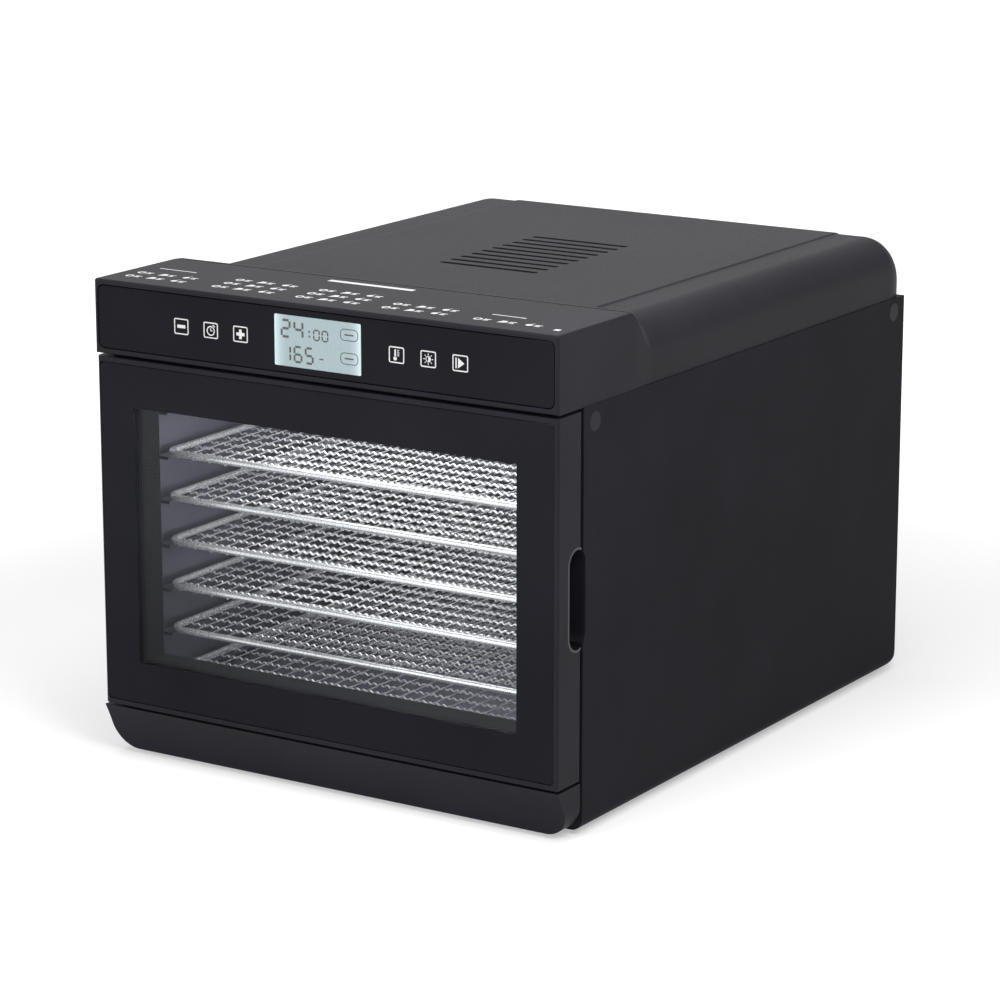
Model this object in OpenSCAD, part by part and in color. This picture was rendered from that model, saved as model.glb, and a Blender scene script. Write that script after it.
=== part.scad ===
// Food dehydrator with a glazed front door, seven wire trays and a rear fan heater.
// Frame: X to the right, Y towards the rear, Z up. The origin is on the surface that the
// feet stand on, under the centre of the footprint.

/* [Overall] */
// Width over the door and the side panels
body_w = 345; // [290:1:420]
// Depth from the door's face to the rear edge
body_d = 450; // [375:1:560]
// Height from the feet to the top of the control housing
body_h = 315; // [265:1:400]

/* [Housing] */
// Sheet thickness of the side and rear panels
sheet_t = 1.2; // [0.8:0.1:1.6]
// Wall thickness of the moulded covers
wall_t = 2.5; // [2:0.1:3]
// Bend radius along the lower side edges
bend_r = 8; // [6:0.5:10]
// Radius of the lower rear corner, seen from the side
heel_r = 12; // [8:1:16]
// Flange that each side panel turns inwards
flange_w = 14; // [12:1:18]
// Depth that the rear panel lies in from the rear edge
rear_recess = 3; // [2.6:0.1:6]

/* [Control housing] */
// Height of the control housing
box_h = 48; // [42:1:60]
// Depth of the control housing
box_d = 85; // [70:1:110]
// Margin between the housing's outline and the gloss panel
panel_rim = 3; // [2:0.5:6]
// Thickness of the gloss panel
panel_t = 3; // [2:0.5:4]
// Width of the display window
display_w = 64.6; // [50:1:80]
// Height of the display window
display_h = 32.3; // [24:1:34]
// Distance of the first touch key from the middle
key_x = 58; // [50:1:62]
// Pitch of the touch keys
key_pitch = 22.8; // [18:0.2:26]

/* [Top cover] */
// Step down from the control housing to the top cover
cover_drop = 6; // [3:1:12]
// Shoulder radius of the top cover
shoulder_r = 22; // [14:1:28]
// Distance of the vent's middle from the door's face
vent_mid = 249; // [220:1:300]
// Rows of vent slots
vent_rows = 10; // [4:1:12]
// Length of one vent slot
vent_w = 75; // [40:1:110]
// Pitch of the vent slots
vent_pitch = 12.6; // [9:0.2:16]
// Width of one vent slot
slot_w = 5; // [3:0.5:7]

/* [Plinth and feet] */
// Height that the feet lift the housing
foot_h = 3; // [2:0.5:5]
// Radius of a foot
foot_r = 9; // [7:0.5:11]
// Height of the front plinth
plinth_h = 31.5; // [26:0.5:40]
// Distance that the plinth's face runs back at its foot
plinth_scoop = 13; // [6:1:16]
// Radius of the plinth's lower corners, seen from the front
plinth_corner_r = 17; // [12:1:20]
// Distance of the feet from the sides
foot_in_x = 32; // [26:1:60]
// Distance of the rear feet from the rear edge
foot_in_rear = 40; // [30:1:80]

/* [Door] */
// Thickness of the door
door_t = 26; // [22:1:32]
// Gap above and below the door
door_gap = 1.9; // [1.6:0.1:3]
// Gap between the door and the body behind it
door_back_gap = 2.5; // [2:0.1:4]
// Width of the door's side stiles
stile_w = 29.5; // [28:0.5:36]
// Height of the door's top and bottom rails
rail_h = 30.5; // [28:0.5:34]
// Thickness of the front glass
glass_t = 4; // [3:0.5:5]
// Rim of the door frame round the glass
glass_rim = 3; // [2:0.5:5]
// Rounding of the door's hinge edges
door_edge_r = 5; // [3:0.5:5]
// Distance of the hinge axis from the door's left edge
hinge_x_in = 6; // [5.5:0.5:7]
// Distance of the hinge axis from the door's rear face
hinge_y_in = 7; // [6:0.5:8]
// Radius of the hinge pins
hinge_pin_r = 2.5; // [2:0.1:3]

/* [Finger slot] */
// Height of the finger slot
slot_h = 62; // [50:1:80]
// Width of the finger slot
slot_d = 18.4; // [15:0.2:22]
// Depth of the finger slot into the side
slot_in = 11; // [8:0.5:11]
// Depth that the slot runs into the body behind the door
slot_back = 2.6; // [0:0.1:4]
// Wall of the slot's insert
insert_t = 1.5; // [1:0.1:2]

/* [Chamber] */
// Space between the side panels' faces and the chamber
side_gap = 16; // [15:0.5:24]
// Sheet thickness of the chamber liner
liner_t = 1; // [0.6:0.1:1.4]
// Height of the chamber floor above the plinth
floor_up = 7.5; // [6:0.5:12]
// Depth of the front frame round the chamber mouth
frame_t = 10; // [8:1:14]
// Depth of the fan space behind the trays
fan_space = 50; // [50:1:70]
// Depth of the bay behind the chamber
rear_bay = 61; // [61:1:80]

/* [Trays] */
// Number of trays
tray_count = 7; // [4:1:7]
// Diameter of a tray's rim rod
rim_d = 4.6; // [3:0.2:5]
// Thickness of a tray's mesh wires
wire_t = 1.4; // [1:0.1:2]
// Pitch of the wires that run front to back
wire_pitch_x = 25.6; // [12:0.2:40]
// Pitch of the wires that run left to right
wire_pitch_y = 16; // [12:0.2:40]
// Distance of a tray's front bar from the door's face
tray_in = 42; // [42:1:50]
// Gap between a tray and the chamber wall
tray_side_gap = 4; // [3:0.5:6]
// Width of the ledges that carry the trays
ledge_w = 9; // [7:0.5:12]

/* [Fan and heater] */
// Radius of the fan impeller
fan_r = 60; // [45:1:62]
// Number of fan blades
blade_count = 7; // [5:1:9]
// Radius of the motor shaft
shaft_r = 3; // [2.5:0.1:4]
// Gap between the blade tips and the heater element
heater_gap = 7.8; // [5:0.2:10]
// Radius of the heater tube
heater_tube_r = 2.2; // [1.8:0.1:3]

/* [Cord gland] */
// Radius of the bore for the supply cord
gland_bore_r = 3.6; // [3:0.1:5]
// Distance of the gland from the right side
gland_in_x = 52; // [40:1:90]
// Height of the gland above the plinth
gland_up = 17; // [14:1:60]
// Radius of the gland's barrel
gland_r = 7; // [6:0.5:9]

/* [Hidden] */
$fn = 64;

// Clearance between seated pieces, and in a running bore
fit = 0.2;
run_fit = 0.05;
// Length that a cutter runs past the face it cuts
past = 1;

// Outline
x_side = body_w / 2;
y_front = -body_d / 2;
y_rear = body_d / 2;
z_plinth = foot_h + plinth_h;
z_box = body_h - box_h;
z_cover = body_h - cover_drop;
y_box = y_front + box_d;

// Door and front frame
z_door = [z_plinth + door_gap, z_box - door_gap];
y_door = y_front + door_t;
y_body = y_door + door_back_gap;
y_frame = y_body + frame_t;
hinge_x = -x_side + hinge_x_in;
hinge_y = y_door - hinge_y_in;
hinge_bush_h = 12;
hinge_bush_wall = 1.5;
hinge_bush_r = hinge_pin_r + hinge_bush_wall;
hinge_flange_t = door_gap - 2 * fit;
hinge_in = 8;
frame_x = x_side - sheet_t - fit;
// The door is a shell: its walls, and the web behind the glass
web_t = 3;
glass_recess = 0.4;
glass_y = [y_front + glass_recess, y_front + glass_recess + glass_t];
cover_plate_t = 4;
gasket_w = 3.5;
gasket_seat = 0.3;
magnet_size = [6, 4, 24];
magnet_in = 6.5;
magnet_shift = 0.5;
magnet_sink = 0.4;
magnet_x = x_side - magnet_in;
slot_y = y_body + slot_back - slot_d / 2;
slot_z = (z_door[0] + z_door[1]) / 2;
magnet_z = [slot_z - slot_h, slot_z + slot_h];
catch_t = 1.5;

// Chamber
x_liner = x_side - side_gap;
roof_gap = 10;
z_liner = [z_plinth + floor_up, z_box - roof_gap];
mouth_lip = [2.5, 1];
z_mouth = [z_liner[0] + mouth_lip[0], z_liner[1] - mouth_lip[1]];
y_liner = y_rear - rear_bay;
y_baffle = y_liner - fan_space;
baffle_t = 1.2;
// Slots of the baffle: length, width, pitch along X and along Z
baffle_slot = [22, 5];
baffle_pitch = [32, 14];
baffle_rim = [20, 12];
z_fan = (z_liner[0] + z_liner[1]) / 2;

// Trays
tray_x = x_liner - tray_side_gap;
tray_rear_gap = 5;
tray_up = 7.5;
tray_head = 31;
tray_y = [y_front + tray_in - rim_d / 2, y_baffle - tray_rear_gap];
tray_z_low = z_liner[0] + tray_up;
tray_z_high = z_liner[1] - tray_head;
tray_pitch = (tray_z_high - tray_z_low) / (tray_count - 1);
tray_corner_r = 10;
ledge_t = 2;
ledge_end_gap = [2, 4];

// Base and feet
z_flange = foot_h + sheet_t;
pan_floor_t = 2.5;
foot_front_gap = 2;
foot_places = [for (s = [-1, 1], y = [y_frame + foot_r + foot_front_gap, y_rear - foot_in_rear])
    [s * (x_side - foot_in_x), y]];
foot_screw_r = 2;
foot_head_r = 4;
boss_h = 9;
boss_wall = 3;
rib_t = 3;
rib_in = 6;
rib_inset = 40;

// Rear panel and its screws
y_back = y_rear - rear_recess;
z_back = [z_flange + heel_r, z_box - sheet_t - 2 * fit];
rear_screw_r = 1.5;
rear_screw_in = 7;
rear_screw_ends = [24, 16];
rear_screw_x = x_side - sheet_t - rear_screw_in;
rear_screw_z = [for (i = [0 : 2])
    z_back[0] + rear_screw_ends[0]
    + i * (z_back[1] - z_back[0] - rear_screw_ends[0] - rear_screw_ends[1]) / 2];
base_screw_drop = 8;
base_screw_z = z_plinth - base_screw_drop;
rear_screw_len = 8;
rear_head_h = 2;
rear_hole_depth = 10;
// Air slots of the rear panel: length, pitch, distance from the middle, pairs above and below
air_slot_len = 44;
air_slot_pitch = 12;
air_slot_x = 30;
air_slot_rows = 4;
gland_place = [x_side - gland_in_x, z_plinth + gland_up];
gland_flange_t = 2.5;
gland_flange_w = 2;
gland_len = 14;
gland_lip = [2, 1.2];

// Side plugs: distances behind the door's face and heights
plug_r = 6.2;
plug_places = [[y_body + 13, z_box - 10.5], [y_rear - 15, z_box - 9.5]];
plug_lip = [1, 2];

// Control panel
housing_in = 0.5;
panel_edge = 1;
panel_x = x_side - housing_in - panel_rim;
panel_z = [z_box + panel_rim + panel_edge, body_h - panel_rim - panel_edge];
key_z = (panel_z[0] + panel_z[1]) / 2;
board_gap = 4.5;
panel_post_in = [16, 7];
panel_post_r = 2.5;
board_y = y_front + panel_t + board_gap;

// Heater
heater_r = fan_r + heater_gap + heater_tube_r;
heater_ahead = [12, 22];
heater_y = [y_liner - heater_ahead[0], y_liner - heater_ahead[1]];
block_in = 5;
block_out = 6;
block_half_w = 7;

// Fan: how far ahead of the back wall the hub lies, and its blades
hub_ahead = [34, 14];
hub_r = 16;
blade_t = 1.2;
blade_w = 26;
blade_tilt = 30;
blade_root = 2;
shaft_ahead = 38;
shaft_tail = 4;
shaft_seat = 0.02;

// Motor
strap_t = 2;
stator_gap = 12;
stator_len = 28;
motor_y = [y_liner + liner_t + strap_t, y_liner + stator_gap, y_liner + stator_gap + stator_len];
stator_half = [32, 26];
stator_foot = [18, 38];
stator_foot_in = 4;
rotor_r = 15;
rotor_gap = 1;
rotor_end_gap = 3;
post_x = 26;
post_r = 3;
post_tail = 2;
post_collar = 2;
bracket_half = [44, 14];
strap_half = [34, 9];
bearing_r = 6;
bearing_proud = 1;
bearing_hole_gap = 4;

// Thermostat and temperature sensor on the chamber's back wall
probe_down = 30;
sensor_in = 30;
sensor_r = 3;
sensor_reach = [18, 12];
thermostat_in = 34;
thermostat_r = [8, 5];
thermostat_reach = [6, 10];

// Power board, its parts and its posts, from the board's low corner
board_t = 1.6;
board_stand = 12;
power_low = [-x_liner + 12, z_liner[0] + 20];
power_high = [-post_x - 30, z_liner[0] + 130];
power_y = y_liner + liner_t + board_stand;
board_post_in = 6;
relay = [[14, 16], [40, 42]];
relay_h = 24;
transformer = [[16, 54], [34, 78]];
transformer_h = 17;
capacitor = [18, 66];
capacitor_r = 8;
capacitor_h = 26;
sink = 0.1;

// Chamber lamp
lamp_back = 70;
lamp_y = y_frame + lamp_back;
lamp_half = [23, 12];
lens_rim = 2;
lens_t = 1.5;
lens_step = 1;
lamp_case_wall = 4;
lamp_roof_gap = 1;
lamp_case_t = 1.5;
lamp_top = z_box - sheet_t - lamp_roof_gap;
led_pitch = 14;
led_half = 2.5;
led_h = 1;

// A block given by its two corners
module block(low, high) {
    translate(low) cube(high - low);
}

// A 2D outline in X and Z, run from one Y to another
module along_y(y0, y1) {
    translate([0, y1, 0]) rotate([90, 0, 0]) linear_extrude(y1 - y0) children();
}

// A 2D outline in Y and Z, run from one X to another
module along_x(x0, x1) {
    translate([x0, 0, 0]) rotate([90, 0, 90]) linear_extrude(x1 - x0) children();
}

// A 2D rectangle between two corners
module area(low, high) {
    translate(low) square(high - low);
}

// A 2D rectangle between two corners with all corners rounded
module round_area(low, high, r) {
    area([low.x + r, low.y], [high.x - r, high.y]);
    area([low.x, low.y + r], [high.x, high.y - r]);
    for (x = [low.x + r, high.x - r], y = [low.y + r, high.y - r]) translate([x, y]) circle(r);
}

// A 2D rectangle that stands on two rounded corners
module cradle(half_w, z0, z1, r) {
    area([-half_w + r, z0], [half_w - r, z1]);
    area([-half_w, z0 + r], [half_w, z1]);
    for (x = [-half_w + r, half_w - r]) translate([x, z0 + r]) circle(r);
}

// A 2D side view of the body with its lower rear corner rounded
module heel(y0, y1, z0, z1, r) {
    area([y0, z0], [y1 - r, z1]);
    area([y0, z0 + r], [y1, z1]);
    translate([y1 - r, z0 + r]) circle(r);
}

// A 2D ring: the first outline less an inner rectangle
module ring(low, high, inner_low, inner_high) {
    difference() {
        area(low, high);
        area(inner_low, inner_high);
    }
}

// A round bar along Y
module rod_y(x, z, r, y0, y1) {
    translate([x, y0, z]) rotate([-90, 0, 0]) cylinder(h = y1 - y0, r = r);
}

// A round bar along X
module rod_x(y, z, r, x0, x1) {
    translate([x0, y, z]) rotate([0, 90, 0]) cylinder(h = x1 - x0, r = r);
}

// ---- Base ----

module rubber_feet() {
    color([0.06, 0.06, 0.06]) for (p = foot_places) translate(p) difference() {
        cylinder(h = z_flange, r = foot_r);
        translate([0, 0, -past]) cylinder(h = 2.2 + past, r = foot_head_r + fit);
        cylinder(h = z_flange + past, r = foot_screw_r + run_fit);
    }
}

module foot_screws() {
    color("silver") for (p = foot_places) translate(p) {
        translate([0, 0, 0.6]) cylinder(h = 1.6, r = foot_head_r);
        translate([0, 0, 1]) cylinder(h = 13, r = foot_screw_r);
    }
}

// Floor tray of the housing, with ribs that carry the chamber
module base_pan() {
    pan_r = bend_r - sheet_t;
    y1 = y_back - sheet_t - fit;
    rib_x = x_liner - rib_in;
    color([0.16, 0.16, 0.17]) {
        difference() {
            intersection() {
                along_y(y_frame, y1) cradle(frame_x, z_flange, z_plinth, pan_r);
                along_x(-x_side, x_side) heel(y_frame, y1, z_flange, z_plinth, heel_r - sheet_t);
            }
            block([-frame_x + pan_r, y_frame + wall_t, z_flange + pan_floor_t],
                  [frame_x - pan_r, y1 - heel_r, z_plinth + past]);
            for (p = foot_places) translate([p.x, p.y, z_flange - past])
                cylinder(h = pan_floor_t + 2 * past, r = foot_screw_r + run_fit);
            for (s = [-1, 1])
                rod_y(s * rear_screw_x, base_screw_z, rear_screw_r + run_fit, y1 - heel_r, y1 + past);
        }
        for (p = foot_places) translate([p.x, p.y, z_flange + pan_floor_t]) difference() {
            cylinder(h = boss_h, r = foot_screw_r + boss_wall);
            translate([0, 0, -past]) cylinder(h = boss_h + 2 * past, r = foot_screw_r + run_fit);
        }
        for (i = [0 : 2]) {
            y = y_frame + rib_inset + i * (y_liner - y_frame - 2 * rib_inset) / 2;
            block([-rib_x, y, z_flange + pan_floor_t], [rib_x, y + rib_t, z_liner[0] - liner_t]);
        }
    }
}

// Right side panel: a bent sheet with flanges at its foot, top and rear
module side_sheet() {
    z_top = z_box;
    intersection() {
        union() {
            along_y(y_body, y_rear) {
                area([x_side - sheet_t, foot_h + bend_r], [x_side, z_top]);
                area([x_side - flange_w, z_top - sheet_t], [x_side, z_top]);
                area([x_side - flange_w, foot_h], [x_side - bend_r, z_flange]);
                intersection() {
                    difference() {
                        translate([x_side - bend_r, foot_h + bend_r]) circle(bend_r);
                        translate([x_side - bend_r, foot_h + bend_r]) circle(bend_r - sheet_t);
                    }
                    area([x_side - bend_r, foot_h], [x_side, foot_h + bend_r]);
                }
            }
            difference() {
                block([x_side - flange_w, y_back - 2 * sheet_t, z_plinth + 2],
                      [x_side - sheet_t / 2, y_back - sheet_t, z_top - sheet_t / 2]);
                for (z = rear_screw_z)
                    rod_y(rear_screw_x, z, rear_screw_r + run_fit, y_back - rear_hole_depth, y_back);
            }
        }
        along_x(0, x_side + past) heel(y_body, y_rear, foot_h, z_top, heel_r);
    }
}

module plug_holes() {
    for (p = plug_places) rod_x(p.x, p.y, plug_r, x_side - 5, x_side + past);
}

module left_side_panel() {
    color([0.27, 0.27, 0.28]) mirror([1, 0, 0]) difference() {
        side_sheet();
        plug_holes();
    }
}

module right_side_panel() {
    color([0.27, 0.27, 0.28]) difference() {
        side_sheet();
        plug_holes();
        slot_cutter(0);
    }
}

module side_plugs() {
    color([0.15, 0.15, 0.16]) for (s = [0, 1], p = plug_places) mirror([s, 0, 0]) {
        rod_x(p.x, p.y, plug_r - run_fit, x_side - sheet_t - plug_lip[1], x_side);
        rod_x(p.x, p.y, plug_r + plug_lip[0], x_side - sheet_t - plug_lip[1], x_side - sheet_t);
    }
}

module rear_panel() {
    half = x_side - sheet_t - fit;
    color([0.2, 0.2, 0.21]) difference() {
        block([-half, y_back - sheet_t, z_back[0]], [half, y_back, z_back[1]]);
        for (s = [-1, 1], i = [-air_slot_rows : air_slot_rows])
            along_y(y_back - rear_hole_depth, y_back + past)
                translate([s * air_slot_x, z_fan + i * air_slot_pitch]) slot_2d(air_slot_len, slot_w);
        for (s = [-1, 1], z = concat([base_screw_z], rear_screw_z))
            rod_y(s * rear_screw_x, z, rear_screw_r + run_fit, y_back - rear_hole_depth, y_back + past);
        rod_y(gland_place.x, gland_place.y, gland_r, y_back - rear_hole_depth, y_back + past);
    }
}

// A 2D slot with round ends, centred, its length along X
module slot_2d(length, width) {
    square([length - width, width], center = true);
    for (s = [-1, 1]) translate([s * (length - width) / 2, 0]) circle(width / 2);
}

module rear_screws() {
    color("dimgray") for (s = [-1, 1], z = concat([base_screw_z], rear_screw_z)) {
        rod_y(s * rear_screw_x, z, rear_screw_r, y_back - rear_screw_len, y_back + rear_head_h / 2);
        rod_y(s * rear_screw_x, z, 2 * rear_screw_r, y_back, y_back + rear_head_h);
    }
}

module cord_gland() {
    color([0.05, 0.05, 0.05]) translate([gland_place.x, y_back, gland_place.y]) rotate([-90, 0, 0]) {
        difference() {
            union() {
                cylinder(h = gland_flange_t, r = gland_r + gland_flange_w);
                translate([0, 0, gland_flange_t - gland_len])
                    cylinder(h = gland_len, r = gland_r - run_fit);
                translate([0, 0, -sheet_t - gland_lip[0]])
                    cylinder(h = gland_lip[0], r = gland_r + gland_lip[1]);
            }
            translate([0, 0, gland_flange_t - gland_len - past])
                cylinder(h = gland_len + 2 * past, r = gland_bore_r);
        }
    }
}

// ---- Front ----

// Depth of the plinth's face behind the door's face at a share of its height
function scoop(t) = let (s = 1 - t) 2 * s * t * 0.68 * plinth_scoop + t * t * plinth_scoop + 0.8;
function scoop_z(t) = let (s = 1 - t) s * s * z_plinth + 2 * s * t * (foot_h + 15) + t * t * foot_h;

module front_plinth() {
    steps = 12;
    face = [for (i = [0 : steps]) [y_front + scoop(i / steps), scoop_z(i / steps)]];
    neck_in = 3;
    color([0.25, 0.25, 0.26]) difference() {
        union() {
            intersection() {
                along_x(-x_side, x_side) polygon(concat(face, [[y_door, foot_h], [y_door, z_plinth]]));
                along_y(y_front, y_door) cradle(x_side, foot_h, z_plinth, plinth_corner_r);
            }
            along_y(y_door - past, y_body)
                cradle(x_side - neck_in, foot_h + neck_in, z_plinth - neck_in, plinth_corner_r - neck_in);
        }
        translate([hinge_x, hinge_y, z_plinth - hinge_in])
            cylinder(h = hinge_in + past, r = hinge_pin_r + run_fit);
    }
}

// Frame round the chamber's mouth
module front_frame() {
    color([0.1, 0.1, 0.11]) difference() {
        along_y(y_body, y_frame) difference() {
            cradle(frame_x, z_flange, z_box - sheet_t - fit, bend_r - sheet_t);
            area([-x_liner, z_mouth[0]], [x_liner, z_mouth[1]]);
        }
        slot_cutter(0);
        for (z = magnet_z) catch_block(z, fit / 2);
        for (s = [0, 1], p = plug_places) mirror([s, 0, 0])
            rod_x(p.x, p.y, plug_r + plug_lip[0] + fit, x_side - sheet_t - plug_lip[1] - fit, x_side);
    }
}

module catch_block(z, grow) {
    half = [magnet_size.x / 2 + grow, 0, magnet_size.z / 2 + grow];
    block([magnet_x - 0.5, y_body, z] - half, [magnet_x - 0.5, y_body + catch_t + grow, z] + half);
}

module catch_plates() {
    color("silver") for (z = magnet_z) catch_block(z, 0);
}

// ---- Chamber ----

module chamber_liner() {
    out = liner_t;
    color([0.62, 0.64, 0.66]) difference() {
        block([-x_liner - out, y_frame, z_liner[0] - out], [x_liner + out, y_liner + out, z_liner[1] + out]);
        block([-x_liner, y_frame - past, z_liner[0]], [x_liner, y_liner, z_liner[1]]);
        rod_y(0, z_fan, bearing_r + bearing_hole_gap, y_liner - past, y_liner + out + past);
        lamp_cut(0, z_liner[1] - past, z_liner[1] + out + past);
        rod_y(x_liner - sensor_in, z_liner[1] - probe_down, sensor_r + run_fit, y_liner - past,
              y_liner + out + past);
    }
}

module ledges() {
    color([0.5, 0.51, 0.53]) for (k = [0 : tray_count - 1]) {
        z = tray_z_low + k * tray_pitch - rim_d / 2 - fit;
        block([x_liner - ledge_w, y_frame + ledge_end_gap[0], z - ledge_t],
              [x_liner, y_baffle - ledge_end_gap[1], z]);
    }
}

module right_tray_rails() {
    ledges();
}

module left_tray_rails() {
    mirror([1, 0, 0]) ledges();
}

module air_baffle() {
    half = x_liner;
    cols = floor((2 * half - 2 * baffle_rim.x) / baffle_pitch.x);
    rows = floor((z_liner[1] - z_liner[0] - 2 * baffle_rim.y) / baffle_pitch.y);
    color([0.55, 0.56, 0.58]) difference() {
        block([-half, y_baffle, z_liner[0]], [half, y_baffle + baffle_t, z_liner[1]]);
        along_y(y_baffle - past, y_baffle + baffle_t + past)
            for (i = [0 : cols - 1], j = [0 : rows - 1])
                translate([(i - (cols - 1) / 2) * baffle_pitch.x,
                           z_fan + (j - (rows - 1) / 2) * baffle_pitch.y])
                    slot_2d(baffle_slot.x, baffle_slot.y);
    }
}

// One tray: a rim rod with round corners and a wire mesh in its middle plane
module tray(k) {
    z = tray_z_high - (k - 1) * tray_pitch;
    r = rim_d / 2;
    low = [-tray_x + r, tray_y[0] + r];
    high = [tray_x - r, tray_y[1] - r];
    c = tray_corner_r;
    nx = floor((high.x - low.x) / wire_pitch_x / 2 - 0.2);
    ny = floor((high.y - low.y) / wire_pitch_y / 2 - 0.2);
    mid_y = (low.y + high.y) / 2;
    color([0.8, 0.81, 0.82]) translate([0, 0, z]) {
        for (x = [low.x, high.x]) rod_y(x, 0, r, low.y + c, high.y - c);
        for (y = [low.y, high.y]) rod_x(y, 0, r, low.x + c, high.x - c);
        for (s = [[high.x - c, high.y - c, 0], [low.x + c, high.y - c, 90],
                  [low.x + c, low.y + c, 180], [high.x - c, low.y + c, 270]])
            translate([s[0], s[1], 0]) rotate([0, 0, s[2]])
                rotate_extrude(angle = 90) translate([c, 0]) circle(r);
        translate([0, 0, -wire_t / 2]) linear_extrude(wire_t) {
            for (i = [-nx : nx]) area([i * wire_pitch_x - wire_t / 2, low.y],
                                      [i * wire_pitch_x + wire_t / 2, high.y]);
            for (j = [-ny : ny]) area([low.x, mid_y + j * wire_pitch_y - wire_t / 2],
                                      [high.x, mid_y + j * wire_pitch_y + wire_t / 2]);
        }
    }
}

// ---- Fan, motor and heater ----

module fan_impeller() {
    hub_y = [y_liner - hub_ahead[0], y_liner - hub_ahead[1]];
    mid = (hub_y[0] + hub_y[1]) / 2;
    color([0.7, 0.71, 0.72]) difference() {
        union() {
            rod_y(0, z_fan, hub_r, hub_y[0], hub_y[1]);
            for (i = [0 : blade_count - 1])
                translate([0, mid, z_fan]) rotate([0, i * 360 / blade_count, 0])
                    translate([(hub_r + fan_r - blade_root) / 2, 0, 0]) rotate([blade_tilt, 0, 0])
                        cube([fan_r - hub_r + blade_root, blade_t, blade_w], center = true);
        }
        rod_y(0, z_fan, shaft_r + shaft_seat, hub_y[0] - past, hub_y[1] + past);
    }
}

module motor_shaft() {
    color("silver") rod_y(0, z_fan, shaft_r, y_liner - shaft_ahead, motor_y[2] + strap_t + shaft_tail);
}

module motor_rotor() {
    color([0.45, 0.45, 0.46]) difference() {
        rod_y(0, z_fan, rotor_r, motor_y[1] + rotor_end_gap, motor_y[2] - rotor_end_gap);
        rod_y(0, z_fan, shaft_r + shaft_seat, motor_y[1], motor_y[2]);
    }
}

module motor_stator() {
    color([0.5, 0.42, 0.36]) {
        difference() {
            block([-stator_half.x, motor_y[1], z_fan - stator_half.y],
                  [stator_half.x, motor_y[2], z_fan + stator_half.y]);
            rod_y(0, z_fan, rotor_r + rotor_gap, motor_y[1] - past, motor_y[2] + past);
            for (s = [-1, 1])
                rod_y(s * post_x, z_fan, post_r + run_fit, motor_y[1] - past, motor_y[2] + past);
        }
        block([-stator_foot.x, motor_y[1] + stator_foot_in, z_fan - stator_foot.y],
              [stator_foot.x, motor_y[2] - stator_foot_in, z_fan - stator_half.y + sink]);
    }
}

// Front plate on the chamber's back wall, with two posts through the stator
module motor_bracket() {
    y0 = y_liner + liner_t;
    color([0.72, 0.72, 0.73]) difference() {
        union() {
            block([-bracket_half.x, y0, z_fan - bracket_half.y],
                  [bracket_half.x, y0 + strap_t, z_fan + bracket_half.y]);
            for (s = [-1, 1]) {
                rod_y(s * post_x, z_fan, post_r, y0 + strap_t / 2, motor_y[2] + strap_t + post_tail);
                rod_y(s * post_x, z_fan, post_r + post_collar, y0 + strap_t / 2, motor_y[1]);
            }
        }
        rod_y(0, z_fan, bearing_r + run_fit, y0 - past, y0 + strap_t + past);
    }
}

module motor_rear_strap() {
    color([0.72, 0.72, 0.73]) difference() {
        block([-strap_half.x, motor_y[2], z_fan - strap_half.y],
              [strap_half.x, motor_y[2] + strap_t, z_fan + strap_half.y]);
        rod_y(0, z_fan, bearing_r + run_fit, motor_y[2] - past, motor_y[2] + strap_t + past);
        for (s = [-1, 1])
            rod_y(s * post_x, z_fan, post_r + run_fit, motor_y[2] - past, motor_y[2] + strap_t + past);
    }
}

module motor_bearings() {
    color([0.72, 0.55, 0.3]) for (y = [y_liner + liner_t, motor_y[2]]) difference() {
        rod_y(0, z_fan, bearing_r, y - bearing_proud, y + strap_t + bearing_proud);
        rod_y(0, z_fan, shaft_r + run_fit, y - bearing_proud - past, y + strap_t + bearing_proud + past);
    }
}

module heater_rings(grow) {
    for (y = heater_y) translate([0, y, z_fan]) rotate([90, 0, 0])
        rotate_extrude() translate([heater_r, 0]) circle(heater_tube_r + grow);
}

module heater_element() {
    color([0.35, 0.33, 0.32]) heater_rings(0);
}

module heater_blocks() {
    color([0.88, 0.86, 0.8]) difference() {
        for (i = [0 : 3]) translate([0, 0, z_fan]) rotate([0, 45 + 90 * i, 0])
            block([heater_r - block_in, heater_y[1] - block_in, -block_half_w],
                  [heater_r + block_out, y_liner, block_half_w]);
        heater_rings(run_fit);
    }
}

module thermostat() {
    color([0.75, 0.75, 0.76]) {
        for (i = [0, 1])
            rod_y(-x_liner + thermostat_in, z_liner[1] - probe_down, thermostat_r[i],
                  y_liner - thermostat_reach[i], i == 0 ? y_liner : y_liner - thermostat_reach[0] + sink);
    }
}

module temperature_sensor() {
    color([0.8, 0.8, 0.82]) rod_y(x_liner - sensor_in, z_liner[1] - probe_down, sensor_r,
                                  y_liner - sensor_reach[0], y_liner + sensor_reach[1]);
}

// ---- Electronics ----

module power_board() {
    color([0.1, 0.35, 0.16]) difference() {
        block([power_low.x, power_y, power_low.y], [power_high.x, power_y + board_t, power_high.y]);
        power_post_places(post_r / 2 + run_fit, power_y - past, power_y + board_t + past);
    }
    color([0.2, 0.2, 0.22]) {
        board_part(relay, relay_h);
        board_part(transformer, transformer_h);
        rod_y(power_high.x - capacitor.x, power_low.y + capacitor.y, capacitor_r, power_y + board_t - sink,
              power_y + capacitor_h);
    }
}

// A block on the power board between two corners, each an X and a Z from the board's low corner
module board_part(corners, height) {
    block([power_low.x + corners[0].x, power_y + board_t - sink, power_low.y + corners[0].y],
          [power_low.x + corners[1].x, power_y + height, power_low.y + corners[1].y]);
}

module power_post_places(r, y0, y1) {
    for (x = [power_low.x + board_post_in, power_high.x - board_post_in],
         z = [power_low.y + board_post_in, power_high.y - board_post_in])
        rod_y(x, z, r, y0, y1);
}

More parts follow.
